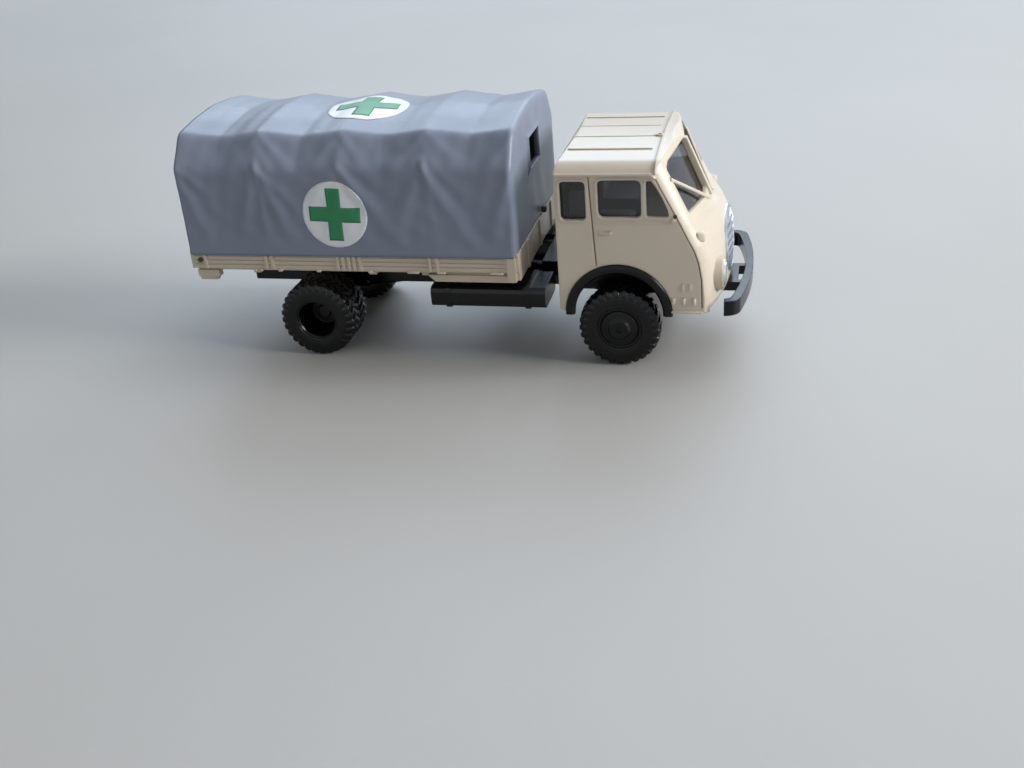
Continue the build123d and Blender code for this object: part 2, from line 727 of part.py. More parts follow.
grille_field = Pos(0, grille_z) * Ellipse(field_half_width, field_half_height)
grille_seat = Pos(0, grille_z) * Ellipse(field_half_width - seat_gap, field_half_height - seat_gap)
recess_shell = skin_shell(-1, grille_recess)
cab -= recess_shell & along_x(grille_field, 53, 59)
cab = max(cab.solids(), key=lambda solid: solid.volume)
save("cab_body", cab)

glass_outer = cab_volume(cab_wall + seat_gap / 2)
glass_inner = cab_volume(cab_wall + glass_thickness)
pane_shell = glass_outer - glass_inner
panes = []
for prism in window_prisms(glass_margin):
    panes += [solid for solid in (pane_shell & prism).solids()]
glazing = panes[0].fuse(*panes[1:]) if len(panes) > 1 else panes[0]
save("cab_glazing", glazing)

floor_half = cab_half_width - cab_wall - seat_gap
cab_floor = block(cab_rear_x + cab_wall + seat_gap, 52.0, -floor_half, floor_half,
                  cab_floor_z, cab_floor_z + cab_floor_thickness) & cab_volume(cab_wall + seat_gap)
for x in (36.4, 50.0):
    cab_floor += block(x - 0.6, x + 0.6, -rail_outer_y, rail_outer_y, rail_top_z + EPS, cab_floor_z)
save("cab_floor", cab_floor)

seat_z = cab_floor_z + cab_floor_thickness
seats = []
for y in (-6.4, 6.4):
    seat = block(38.2, 43.6, y - 4.2, y + 4.2, seat_z, seat_z + 3.0)
    seat += block(36.2, 38.4, y - 4.2, y + 4.2, seat_z, seat_z + 8.4)
    seats.append(fillet(seat.edges().filter_by(Axis.Y), 0.4))
save("seats", *seats)

wheel_centre = (47.2, 6.0, 20.6)
wheel_plane = Plane(origin=wheel_centre, z_dir=(-0.62, 0, 0.78))
ring_section = polygon([(1.95, -0.2), (2.2, -0.3), (2.45, 0), (2.2, 0.3), (1.95, 0.2)])
ring = revolve(ring_section, axis=Axis.Y)
steering = wheel_plane * (Rot(90, 0, 0) * ring)
steering += wheel_plane * Box(4.1, 0.4, 0.35)
steering += rod(0.3, wheel_centre, (50.4, 6.0, cab_floor_z + cab_floor_thickness + 0.25))
save("steering_wheel", steering)


# Mudguards: a round bead on each arch, the liner behind it and an inner panel
lip_outer_y = cab_half_width + arch_lip_proud
lip_inner_y = lip_outer_y - arch_lip_width
bead_section = polygon([
    (arch_outer_radius, arch_inner_y), (arch_outer_radius, cab_half_width + 0.02),
    (arch_outer_radius - 0.15, lip_outer_y - 0.08), (arch_outer_radius - 0.5, lip_outer_y),
    (arch_lip_radius + 0.3, lip_outer_y - 0.04), (arch_lip_radius, lip_outer_y - 0.3),
    (arch_lip_radius, lip_inner_y), (arch_outer_radius - arch_wall, lip_inner_y),
    (arch_outer_radius - arch_wall, arch_inner_y),
])
arch_place = Pos(front_axle_x, 0, arch_centre_z) * Rot(180, 0, 0)
mudguard = arch_place * revolve(bead_section, axis=Axis.Y, revolution_arc=180)
panel = rod(arch_outer_radius, (0, -arch_inner_y - 0.02, 0), (0, -arch_inner_y + 0.4, 0))
panel = Pos(front_axle_x, 0, arch_centre_z) * panel
mudguard += panel & block(30, 60, -20, 20, 10.2, 20)
save("front_mudguards", *both_sides(mudguard))


# Grille and lamps, seated on the front of the cab
trim_shell = skin_shell(-0.2, -0.002)
outer_oval = Pos(0, grille_z) * Ellipse(grille_half_width, grille_half_height)
grille = trim_shell & along_x(outer_oval - grille_field, 53, 59)
bar_shell = cab_volume(-0.16) - cab_volume(grille_recess - EPS)
bar_face = Sketch()
for step in range(bar_count):
    z = grille_z - grille_half_height + grille_trim + (step + 1) * bar_pitch
    bar_face += Pos(0, z) * Rectangle(2 * grille_half_width, bar_height)
grille += bar_shell & along_x(bar_face & grille_seat, 53, 59)
grille += (cab_volume(-0.16) - cab_volume(-0.002)) & along_x(bar_face & outer_oval, 53, 59)
save("front_grille", grille)
lamps = []
lamp_seat_x = lamp_face_x - lamp_seat_depth + EPS
for side in (1, -1):
    y = side * lamp_y
    lens = rod(lamp_radius, (lamp_seat_x, y, lamp_z), (lamp_face_x + 0.2, y, lamp_z))
    lens += rod(lamp_radius - 0.4, (lamp_face_x, y, lamp_z), (lamp_face_x + 0.35, y, lamp_z))
    lamps.append(lens)
save("headlamps", *lamps)
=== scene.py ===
import bpy
import bmesh
import json
import math
from mathutils import Matrix, Vector


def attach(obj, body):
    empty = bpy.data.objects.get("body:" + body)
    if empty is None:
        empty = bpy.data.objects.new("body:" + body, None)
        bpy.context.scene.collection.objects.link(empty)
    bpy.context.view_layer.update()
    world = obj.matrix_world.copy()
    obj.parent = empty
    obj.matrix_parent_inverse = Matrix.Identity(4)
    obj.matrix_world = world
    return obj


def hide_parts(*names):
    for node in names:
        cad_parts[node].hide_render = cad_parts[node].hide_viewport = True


# The looks of a small plastic ambulance truck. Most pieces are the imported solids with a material;
# the tilt's skin, the tyres, the signs and the small fittings are meshes built here.

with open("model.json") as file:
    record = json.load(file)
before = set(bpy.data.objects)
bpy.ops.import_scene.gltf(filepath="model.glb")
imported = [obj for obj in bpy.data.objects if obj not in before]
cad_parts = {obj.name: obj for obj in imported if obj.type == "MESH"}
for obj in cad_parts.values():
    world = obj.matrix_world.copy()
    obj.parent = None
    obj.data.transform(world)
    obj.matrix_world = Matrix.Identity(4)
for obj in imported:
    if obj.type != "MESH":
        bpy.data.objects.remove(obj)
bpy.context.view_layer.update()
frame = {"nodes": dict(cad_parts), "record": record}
nodes = frame["nodes"]

MM = 0.001
SHIFT = 21.05          # millimetres from the rear axle forward to the frame's origin


def P(x, y, z):
    """A point given in millimetres from the rear axle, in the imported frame."""
    return Vector(((x - SHIFT) * MM, y * MM, z * MM))


# Camera: its axes and place were solved from the photograph

camera_data = bpy.data.cameras.new("camera")
camera = bpy.data.objects.new("camera", camera_data)
bpy.context.scene.collection.objects.link(camera)
right = Vector((0.97262, 0.22024, -0.07421))
up = Vector((-0.03920, 0.47021, 0.88168))
back = Vector((0.22908, -0.85463, 0.46597))
camera.matrix_world = Matrix((
    (right.x, up.x, back.x, 0.041497),
    (right.y, up.y, back.y, -0.144101),
    (right.z, up.z, back.z, 0.068065),
    (0, 0, 0, 1),
))
camera_data.lens = 39.192
camera_data.sensor_width = 36
camera_data.clip_start = 0.005
camera_data.clip_end = 10
bpy.context.scene.camera = camera


# Materials

class Mat:
    """A short way to build a node material round one Principled shader."""

    def __init__(self, name):
        self.material = bpy.data.materials.new(name)
        self.material.use_nodes = True
        self.tree = self.material.node_tree
        self.shader = self.tree.nodes["Principled BSDF"]
        self.coord = self.tree.nodes.new("ShaderNodeTexCoord").outputs["Object"]

    def set(self, **values):
        """Set constants on the shader's own sockets."""
        for key, value in values.items():
            self.shader.inputs[key.replace("_", " ")].default_value = value

    def noise(self, scale, detail):
        """A noise in object space, from 0 to 1."""
        node = self.tree.nodes.new("ShaderNodeTexNoise")
        node.inputs["Scale"].default_value = scale
        node.inputs["Detail"].default_value = detail
        node.inputs["Roughness"].default_value = 0.55
        self.tree.links.new(self.coord, node.inputs["Vector"])
        return node.outputs["Fac"]

    def ramp(self, fac, low, high):
        """A colour between two, each given as its place on the ramp and its RGB value."""
        node = self.tree.nodes.new("ShaderNodeValToRGB")
        for element, (place, color) in zip(node.color_ramp.elements, (low, high)):
            element.position = place
            element.color = (*color, 1)
        self.tree.links.new(fac, node.inputs["Fac"])
        return node.outputs["Color"]

    def span(self, fac, low, high):
        """A value from 0 to 1 spread between low and high."""
        node = self.tree.nodes.new("ShaderNodeMapRange")
        node.inputs["To Min"].default_value = low
        node.inputs["To Max"].default_value = high
        self.tree.links.new(fac, node.inputs["Value"])
        return node.outputs["Result"]

    def link(self, output, name):
        """Link an output to one of the shader's sockets."""
        self.tree.links.new(output, self.shader.inputs[name])

    def bump(self, height, distance, strength):
        """Add a bump on top of whatever already drives the shader's normal."""
        node = self.tree.nodes.new("ShaderNodeBump")
        node.inputs["Distance"].default_value = distance
        node.inputs["Strength"].default_value = strength
        normal = self.shader.inputs["Normal"]
        if normal.is_linked:
            self.tree.links.new(normal.links[0].from_socket, node.inputs["Normal"])
        self.tree.links.new(height, node.inputs["Height"])
        self.tree.links.new(node.outputs["Normal"], normal)


def plastic(name, color, roughness, grain=900, wave=60, spread=0.06, specular=0.5, glow=0.0,
            edge=0.00008):
    """Moulded plastic: soft edges, faint flow marks in colour and gloss, and a fine skin.

    grain and wave are the scales of the fine and the broad texture, spread is how far the colour
    varies, glow the weight of the light scattered below the skin and edge the radius of edges.
    """
    mat = Mat(name)
    soft = mat.tree.nodes.new("ShaderNodeBevel")
    soft.samples = 6
    soft.inputs["Radius"].default_value = edge
    mat.tree.links.new(soft.outputs["Normal"], mat.shader.inputs["Normal"])
    low = [c * (1 - spread) for c in color]
    high = [min(1, c * (1 + spread * 0.6)) for c in color]
    mat.link(mat.ramp(mat.noise(wave, 5), (0.3, low), (0.72, high)), "Base Color")
    gloss = mat.noise(wave * 2.6, 4)
    mat.link(mat.span(gloss, roughness * 0.82, roughness * 1.2), "Roughness")
    mat.set(Specular_IOR_Level=specular)
    if glow:
        mat.set(Subsurface_Weight=glow, Subsurface_Radius=(0.001, 0.0008, 0.0005),
                Subsurface_Scale=0.6)
    mat.bump(mat.noise(grain, 3), 0.00002, 0.5)
    mat.bump(mat.noise(wave * 3, 2), 0.00008, 0.35)
    return mat.material


cream = plastic("cream_plastic", (0.68, 0.592, 0.472), 0.30, glow=0.10, edge=0.00032)
# The bed's cream is a darker copy of the cab's cream: painted shade, for the deeper shade the bed
# lies in.
shaded_bed_cream = plastic("bed_plastic_painted_shade", (0.62, 0.53, 0.41), 0.36, glow=0.08, edge=0.00012)
grey = plastic("tilt_plastic", (0.215, 0.243, 0.312), 0.40, grain=1400, wave=90, spread=0.08)
black = plastic("black_plastic", (0.0026, 0.0029, 0.0037), 0.21, grain=700, wave=120,
                specular=0.3, edge=0.00016)
tyre_black = plastic("tyre_plastic", (0.0026, 0.0028, 0.0033), 0.27, grain=1500, wave=150,
                     specular=0.34)
# The colour of the strips in the panel joints' grooves: painted shade.
joint = plastic("joint_shadow", (0.23, 0.175, 0.12), 0.6, grain=1200, wave=100)
# Dark brown: painted shade inside the holes below, and also the board bracket's colour.
brown = plastic("dark_brown", (0.055, 0.032, 0.018), 0.5, grain=1200, wave=100)
seat = plastic("seat_plastic", (0.12, 0.11, 0.10), 0.55, grain=1200, wave=100)
white = plastic("decal_white", (0.80, 0.81, 0.83), 0.38, grain=1600, wave=120, spread=0.03)
green = plastic("decal_green", (0.02, 0.24, 0.09), 0.4, grain=1600, wave=120, spread=0.08)

silver = Mat("silver_paint")
silver.link(silver.ramp(silver.noise(300, 4), (0.3, (0.50, 0.55, 0.63)),
                        (0.7, (0.72, 0.76, 0.82))), "Base Color")
silver.set(Metallic=0.85)
silver.link(silver.span(silver.noise(500, 3), 0.22, 0.4), "Roughness")

glass = Mat("clear_glazing")
glass.set(Base_Color=(0.52, 0.54, 0.57, 1), IOR=1.46, Transmission_Weight=1.0)
glass.link(glass.span(glass.noise(400, 3), 0.02, 0.07), "Roughness")
glass.bump(glass.noise(250, 2), 0.00002, 0.25)

lens = Mat("lamp_lens")
lens.link(lens.ramp(lens.noise(500, 3), (0.3, (0.70, 0.73, 0.76)),
                    (0.7, (0.86, 0.88, 0.9))), "Base Color")
lens.set(Metallic=0.35, Coat_Weight=0.6, Coat_Roughness=0.05)
lens.link(lens.span(lens.noise(700, 2), 0.1, 0.2), "Roughness")

finish = {
    "body_cream": cream,
    "tilt_grey": grey,
    "chassis_black": black,
    "tyre_black": tyre_black,
    "clear_glazing": glass.material,
    "grille_silver": silver.material,
    "lamp_clear": lens.material,
    "seat_grey": seat,
}
# The bed's pieces take the darker copy of the cream, which is painted shade.
BED_NODES = ("bed_", "tailgate", "headboard", "lower_", "rear_lamp")
for row in frame["record"]["subparts"]:
    node = nodes[row["node"]]
    material = shaded_bed_cream if row["node"].startswith(BED_NODES) else finish[row["material_slot"]]
    node.data.materials.clear()
    node.data.materials.append(material)


# Mesh helpers

def mesh_object(name, verts, faces, material, body, smooth=True):
    """Make an object from points and faces and hang it on a body."""
    mesh = bpy.data.meshes.new(name)
    mesh.from_pydata([tuple(v) for v in verts], [], faces)
    mesh.validate()
    mesh.update()
    o = bpy.data.objects.new(name, mesh)
    bpy.context.scene.collection.objects.link(o)
    mesh.materials.append(material)
    if smooth:
        mesh.polygons.foreach_set("use_smooth", [True] * len(mesh.polygons))
    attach(o, body)
    return o


def face_outwards(o, weld=False):
    """Turn all faces outwards; weld also joins equal points and drops loose ones."""
    bm = bmesh.new()
    bm.from_mesh(o.data)
    if weld:
        bmesh.ops.remove_doubles(bm, verts=bm.verts, dist=1e-7)
        loose = [v for v in bm.verts if not v.link_faces]
        bmesh.ops.delete(bm, geom=loose, context="VERTS")
    bmesh.ops.recalc_face_normals(bm, faces=bm.faces)
    bm.to_mesh(o.data)
    bm.free()


def smooth_step(low, high, value):
    """0 below low, 1 above high, and an even S between them."""
    t = min(max((value - low) / (high - low), 0), 1)
    return t * t * (3 - 2 * t)


# Tilt: a closed skin with sagging bays, pull folds, a rounded front edge and a front window

TILT_REAR, TILT_FRONT, BOWS = -16.5, 29.7, 5
BAY = (TILT_FRONT - TILT_REAR) / (BOWS - 1)
WALL = 0.6                       # thickness of the skin
HEM_Z = 15.35                    # height of the lower edge
INNER_HEM = (13.64, HEM_Z)       # y and z of the hem's inner edge, just outside the side boards
EDGE = 0.75                      # radius of the edge between the skin and the front wall
CORNER_REACH = 0.75              # how far the arch's corners are rounded, along its outline
STATIONS = 150                   # steps along the truck
ROWS = 132                       # steps round the arch
BOTTOM = 16                      # points along the bottom edge of the front wall
WINDOW_HALF, WINDOW_LOW, WINDOW_HIGH = 3.05, 23.95, 28.08


def sag_at(x):
    """How far the skin hangs between two bows, from 0 on a bow to 1 in mid-bay."""
    t = min(max((x - TILT_REAR) / BAY, 0), BOWS - 1)
    t = t - math.floor(t)
    d = min(t, 1 - t)
    softness = 0.0022
    rise = (math.sqrt(d * d + softness) - math.sqrt(softness)) / 0.455
    return rise * (1 - 0.45 * d) / 0.775


def profile(x):
    """Corner points (y, z) of the outer arch at x, from the left hem to the ridge."""
    s = sag_at(x)
    return [
        (13.9, HEM_Z),
        (13.65 - 0.36 * s, 27.4 - 0.25 * s),
        (10.65 - 0.35 * s, 31.35 - 0.72 * s),
        (5.4 - 0.05 * s, 32.12 - 0.66 * s),
        (0.0, 32.5 - 0.62 * s),
    ]


LENGTHS = [0, 12.05, 17.0, 22.3, 27.75]      # outline length from the hem to each corner
RIDGE = LENGTHS[-1]
GIRTH = 2 * RIDGE


def raw_point(x, s):
    """A point (y, z) at outline length s from the left hem, before its corners are rounded."""
    side = 1
    if s > RIDGE:
        side, s = -1, GIRTH - s
    s = max(s, 0)
    corners = profile(x)
    for i in range(4):
        if s <= LENGTHS[i + 1] or i == 3:
            f = (s - LENGTHS[i]) / (LENGTHS[i + 1] - LENGTHS[i])
            a, b = corners[i], corners[i + 1]
            return side * (a[0] + (b[0] - a[0]) * f), a[1] + (b[1] - a[1]) * f


def round_point(x, s):
    """The mean of seven points round s, which rounds the arch's corners off."""
    if s < CORNER_REACH or s > GIRTH - CORNER_REACH:
        return raw_point(x, s)
    near = [raw_point(x, min(max(s + k * CORNER_REACH / 3, 0), GIRTH)) for k in range(-3, 4)]
    return sum(y for y, z in near) / 7, sum(z for y, z in near) / 7


# Pull folds: bow, side, reach along x, height where it starts, reach down, width, depth
FOLDS = [
    (0, -1, 3.0, 27.2, 9.0, 0.75, 0.24),
    (0, -1, 4.6, 27.5, 4.0, 0.60, 0.20),
    (1, -1, 3.4, 27.6, 8.5, 0.75, 0.34),
    (1, -1, 6.2, 27.5, 7.0, 0.70, 0.24),
    (1, -1, -3.0, 27.4, 8.0, 0.80, 0.28),
    (1, -1, 0.6, 27.5, 10.0, 0.60, 0.20),
    (1, -1, 4.6, 31.2, 3.8, 0.50, 0.20),
    (1, -1, -3.6, 31.3, 3.6, 0.70, 0.15),
    (2, -1, -4.2, 31.3, 3.9, 0.60, 0.18),
    (2, -1, 3.8, 31.0, 3.6, 0.55, 0.18),
    (2, -1, 4.8, 27.5, 6.5, 0.80, 0.26),
    (2, -1, -4.8, 27.5, 5.0, 0.80, 0.24),
    (2, -1, 7.2, 27.4, 9.5, 0.80, 0.20),
    (3, -1, 5.8, 27.5, 10.5, 0.80, 0.40),
    (3, -1, 3.2, 27.3, 9.5, 0.70, 0.32),
    (3, -1, 1.0, 27.5, 9.0, 0.60, 0.22),
    (3, -1, -4.6, 27.5, 8.0, 0.80, 0.26),
    (3, -1, -5.6, 28.4, 1.2, 0.55, 0.22),
    (3, -1, -4.4, 31.2, 3.6, 0.60, 0.18),
    (3, -1, 4.6, 31.2, 3.6, 0.60, 0.14),
    (4, -1, -3.4, 31.0, 4.0, 0.60, 0.16),
    (4, -1, -3.4, 27.2, 9.0, 0.75, 0.24),
    (1, 1, 3.9, 27.5, 9.0, 0.75, 0.30),
    (1, 1, -4.4, 27.4, 7.5, 0.80, 0.26),
    (1, 1, -4.0, 31.3, 4.0, 0.60, 0.16),
    (0, 1, 3.4, 27.2, 8.0, 0.75, 0.26),
    (2, 1, 4.6, 31.2, 4.0, 0.60, 0.16),
    (2, 1, -3.8, 27.4, 8.5, 0.75, 0.28),
    (2, 1, 5.2, 27.4, 7.5, 0.80, 0.26),
    (3, 1, 4.4, 27.4, 9.5, 0.80, 0.34),
    (3, 1, -3.2, 27.4, 8.5, 0.75, 0.26),
    (3, 1, -4.8, 31.2, 4.0, 0.60, 0.18),
    (4, 1, -3.6, 27.3, 8.0, 0.75, 0.26),
]
FOLD_STRENGTH = 0.58             # share of the depths above that the skin takes
FOLD_FREE_HALF = 6               # no folds nearer to the ridge than this
VALLEY = 0.45                    # depth of the valley beside a fold, as a share of the fold


def fold_push(x, y, z):
    """How far the pull folds raise the skin at a point."""
    push = 0
    for bow, side, dx, top, drop, width, depth in FOLDS:
        if side * y < FOLD_FREE_HALF:
            continue
        x0 = TILT_REAR + bow * BAY
        t = ((x - x0) * dx + (top - z) * drop) / (dx * dx + drop * drop)
        if t < -0.1 or t > 1.15:
            continue
        off = abs((x - x0) * drop - (top - z) * dx) / math.hypot(dx, drop)
        w = width * (0.55 + 0.9 * max(t, 0))
        along = max(0, math.sin(math.pi * min(max((t + 0.1) / 1.25, 0), 1))) ** 0.7
        ridge = math.exp(-(off / w) ** 2)
        valley = VALLEY * math.exp(-((off - 1.7 * w) / w) ** 2)
        push += FOLD_STRENGTH * depth * along * (ridge - valley)
    return push


def skin(x, s, inset=0.0, folds=True):
    """The tilt's skin at x and outline length s, moved inwards by inset."""
    y, z = round_point(x, s)
    y2, z2 = round_point(x, min(s + 0.05, GIRTH))
    y1, z1 = round_point(x, max(s - 0.05, 0))
    ty, tz = y2 - y1, z2 - z1
    n = math.hypot(ty, tz) or 1
    ny, nz = tz / n, -ty / n
    push = fold_push(x, y, z) if folds else 0
    calm = min(1, abs(z - 15.3) / 3)          # folds and ripple die out at the hem
    ripple = 0.035 * math.sin(x * 1.9 + z * 0.7) * math.sin(z * 1.3 - x * 0.6) * calm
    d = push * calm + ripple - inset
    return x, y + ny * d, z + nz * d


stations = [TILT_REAR + (TILT_FRONT - EDGE - TILT_REAR) * i / STATIONS
            for i in range(STATIONS + 1)]
params = [GIRTH * j / ROWS for j in range(ROWS + 1)]
RING = ROWS + 1 + BOTTOM         # points in a ring: the arch and its bottom edge
verts, faces = [], []


def add_ring(points):
    """Add a ring of points and return the number of its first."""
    start = len(verts)
    verts.extend(P(*q) for q in points)
    return start


def bottom_points(x, ya, yb, z):
    """The points between the two hems, which close a ring below."""
    return [(x, ya + (yb - ya) * (k + 1) / (BOTTOM + 1), z) for k in range(BOTTOM)]


def join_rings(a, b, closed):
    """Faces between two rings: round the arch only, or closed below as well."""
    for j in range(RING if closed else ROWS):
        k = (j + 1) % RING
        faces.append((a + j, a + k, b + k, b + j))


def tube_ring(x, inset, hem=None):
    """A ring of the skin at x; hem gives the y and z of its two ends."""
    pts = [skin(x, s, inset) for s in params]
    if hem:
        pts[0] = (x, hem[0], hem[1])
        pts[-1] = (x, -hem[0], hem[1])
    return add_ring(pts + bottom_points(x, pts[-1][1], pts[0][1], pts[0][2]))


def window_ring(x, grow):
    """Points round the window, matched to the outline by their direction from its middle."""
    half = WINDOW_HALF + grow
    low, high = WINDOW_LOW - grow, WINDOW_HIGH + grow
    middle = (low + high) / 2
    outline = [skin(x, s, EDGE, False)[1:] for s in params]
    outline += [q[1:] for q in bottom_points(x, outline[-1][0], outline[0][0], 15.9)]
    ring = []
    for y, z in outline:
        dz = z - middle
        f = 1 / max(abs(y) / half, abs(dz) / ((high - low) / 2), 1e-6)
        ring.append((x, y * f, middle + dz * f))
    return ring


def blend_ring(x, f, hollow):
    """A ring between the outline (f = 0) and the window (f = 1) of the front wall."""
    outline = [skin(x, s, EDGE, False) for s in params]
    outline += bottom_points(x, outline[-1][1], outline[0][1], outline[0][2])
    pts = []
    for a, b in zip(outline, window_ring(x, 0)):
        y, z = a[1] + (b[1] - a[1]) * f, a[2] + (b[2] - a[2]) * f
        wave = 0.05 * math.sin(y * 1.1 + z * 0.5) - hollow
        pts.append((x + wave * math.sin(math.pi * f), y, z))
    return add_ring(pts)


# Outside, then round the front edge
outer = [tube_ring(x, 0) for x in stations]
edge_rings = []
for degrees in (15, 30, 45, 60, 75, 90):
    bend = math.radians(degrees)
    edge_x = TILT_FRONT - EDGE + EDGE * math.sin(bend)
    edge_rings.append(tube_ring(edge_x, EDGE * (1 - math.cos(bend))))
for a, b in zip(outer + edge_rings, (outer + edge_rings)[1:]):
    join_rings(a, b, False)

# Front wall: from the outline in to the window's raised frame, then through it to the inside
front = [edge_rings[-1]]
front += [blend_ring(TILT_FRONT + 0.02, share, 0.12) for share in (0.12, 0.3, 0.5, 0.7, 0.86)]
for forward, grow in ((0.02, 0.22), (0.16, 0.16), (0.16, 0.05), (0.02, 0), (-WALL, 0)):
    front.append(add_ring(window_ring(TILT_FRONT + forward, grow)))
inner_front = tube_ring(TILT_FRONT - WALL, WALL, INNER_HEM)
front.append(inner_front)
for a, b in zip(front, front[1:]):
    join_rings(a, b, True)

# Inside, and back to the outside round the rear edge
inner = [inner_front] + [tube_ring(x, WALL, INNER_HEM) for x in stations[:-1][::-1]]
for a, b in zip(inner, inner[1:] + outer[:1]):
    join_rings(a, b, False)

# Hems and the front wall's bottom edge
inside = inner[::-1]
for j in (0, ROWS):
    a_line = [ring + j for ring in outer]
    b_line = [ring + j for ring in inside]
    strip = [(a_line[i], a_line[i + 1], b_line[i + 1], b_line[i]) for i in range(STATIONS)]
    strip.append((a_line[-1], *(ring + j for ring in edge_rings), b_line[-1]))
    faces.extend(strip if j == 0 else [face[::-1] for face in strip])
lower = [edge_rings[-1] + ROWS + 1 + k for k in range(-1, BOTTOM)] + [edge_rings[-1]]
lower_in = [inner_front + ROWS + 1 + k for k in range(-1, BOTTOM)] + [inner_front]
for i in range(BOTTOM + 1):
    faces.append((lower[i], lower_in[i], lower_in[i + 1], lower[i + 1]))
tilt = mesh_object("tilt_skin", verts, faces, grey, "truck")
face_outwards(tilt, weld=True)
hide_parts("canvas_tilt")


# The rear flap, rolled up under the last bow, with two places where a strap draws it in

ROLL_STEPS, ROLL_ROUND = 42, 84
ROLL_HALF = 10.3
roll_x, roll_z = TILT_REAR + 1.0, 30.15
roll_points, roll_faces = [], []
for j in range(ROLL_STEPS + 1):
    y = -ROLL_HALF + 2 * ROLL_HALF * j / ROLL_STEPS
    rise = 0.35 * (1 - (y / 10.6) ** 2)
    strap = max(math.exp(-((y - 6) / 0.35) ** 2), math.exp(-((y + 6) / 0.35) ** 2))
    for i in range(ROLL_ROUND):
        a = 2 * math.pi * i / ROLL_ROUND
        r = (0.8 + 0.07 * (i / ROLL_ROUND) + 0.03 * math.sin(3 * a + y)) * (1 - 0.16 * strap)
        roll_points.append(P(roll_x + r * math.cos(a), y, roll_z + rise + r * math.sin(a)))
for j in range(ROLL_STEPS):
    near, far = j * ROLL_ROUND, (j + 1) * ROLL_ROUND
    for i in range(ROLL_ROUND):
        k = (i + 1) % ROLL_ROUND
        roll_faces.append((near + i, near + k, far + k, far + i))
roll_faces.append(tuple(range(ROLL_ROUND)))
roll_end = ROLL_STEPS * ROLL_ROUND
roll_faces.append(tuple(range(roll_end, roll_end + ROLL_ROUND))[::-1])
face_outwards(mesh_object("rear_flap_roll", roll_points, roll_faces, grey, "truck"))


# First-aid signs: thin closed plates laid on the skin

SEARCH_STEPS = 26                # halvings in the search for a place on the skin
SIGN_CELL = 0.3                  # size of a sign's cells


def skin_on_side(x, z, side):
    """The skin's point at x and a height, on one side."""
    low, high = 0.0, LENGTHS[1] + 0.8
    for _ in range(SEARCH_STEPS):
        mid = (low + high) / 2
        if skin(x, mid)[2] < z:
            low = mid
        else:
            high = mid
    s = (low + high) / 2
    return skin(x, s if side > 0 else GIRTH - s)


def skin_on_roof(x, y):
    """The skin's point above x and y."""
    low, high = LENGTHS[1], GIRTH - LENGTHS[1]
    for _ in range(SEARCH_STEPS):
        mid = (low + high) / 2
        if skin(x, mid)[1] > y:
            low = mid
        else:
            high = mid
    return skin(x, (low + high) / 2)


def sign_plate(name, outline, place, lift, thick, material):
    """A closed plate cut into a grid of cells inside an outline and laid on the skin."""
    bm = bmesh.new()
    bm.faces.new([bm.verts.new((u, v, 0)) for u, v in outline])
    for axis in (0, 1):
        values = [q[axis] for q in outline]
        low, high = min(values), max(values)
        cells = max(2, int((high - low) / SIGN_CELL))
        normal = (1, 0, 0) if axis == 0 else (0, 1, 0)
        for i in range(1, cells):
            cut = low + (high - low) * i / cells
            bmesh.ops.bisect_plane(bm, geom=bm.verts[:] + bm.edges[:] + bm.faces[:],
                                   plane_co=[cut * n for n in normal], plane_no=normal)
    bmesh.ops.triangulate(bm, faces=[f for f in bm.faces if len(f.verts) > 4])
    bm.verts.ensure_lookup_table()
    points = [(v.co.x, v.co.y) for v in bm.verts]
    tops = [P(*place(u, v, lift + thick)) for u, v in points]
    lows = [P(*place(u, v, lift)) for u, v in points]
    n = len(points)
    plate_faces = [tuple(v.index for v in f.verts) for f in bm.faces]
    plate_faces += [tuple(i + n for i in f)[::-1] for f in plate_faces]
    for e in bm.edges:
        if len(e.link_faces) == 1:
            loop = e.link_loops[0]
            a, b = loop.vert.index, loop.link_loop_next.vert.index
            plate_faces.append((b, a, a + n, b + n))
    bm.free()
    face_outwards(mesh_object(name, tops + lows, plate_faces, material, "truck"))


def circle(radius, count=72):
    """The outline of a disc."""
    turns = [2 * math.pi * i / count for i in range(count)]
    return [(radius * math.cos(a), radius * math.sin(a)) for a in turns]


def cross(arm, half):
    """The outline of an upright cross: arm is its reach and half half the width of an arm."""
    return [(half, half), (half, arm), (-half, arm), (-half, half), (-arm, half), (-arm, -half),
            (-half, -half), (-half, -arm), (half, -arm), (half, -half), (arm, -half), (arm, half)]


def on_side(cx, cz, side, turn):
    """Lays a flat point on one side of the tilt, round cx and cz."""
    def place(u, v, lift):
        c, s = math.cos(turn), math.sin(turn)
        x, z = cx + u * c - v * s, cz + u * s + v * c
        q = skin_on_side(x, z, side)
        return q[0], q[1] + side * lift, z
    return place


def on_roof(cx, cy, turn):
    """Lays a flat point on the tilt's roof, round cx and cy."""
    def place(u, v, lift):
        c, s = math.cos(turn), math.sin(turn)
        x, y = cx + u * c - v * s, cy + u * s + v * c
        q = skin_on_roof(x, y)
        return q[0], y, q[2] + lift
    return place


for label, place, radius, arm, half in (
    ("right", on_side(5.5, 21.2, -1, math.radians(-2)), 4.5, 3.55, 1.0),
    ("left", on_side(5.5, 21.2, 1, math.radians(1)), 4.5, 3.55, 1.0),
    ("roof", on_roof(7.3, -0.9, math.radians(4)), 5.6, 4.3, 1.2),
):
    sign_plate("sign_disc_" + label, circle(radius), place, 0.0, 0.05, white)
    sign_plate("sign_cross_" + label, cross(arm, half), place, 0.045, 0.035, green)


# Tyres

REAR_AXLE, FRONT_AXLE, AXLE_Z = 0.0, 42.5, 5.4
OUTER_Y, TWIN = 11.5, 3.4        # middle of an outer tyre, and the pitch of the twin tyres
HALF_WIDTH = 1.5
LUGS, PER_LUG = 29, 14           # lugs round a tyre, and columns of points to a lug

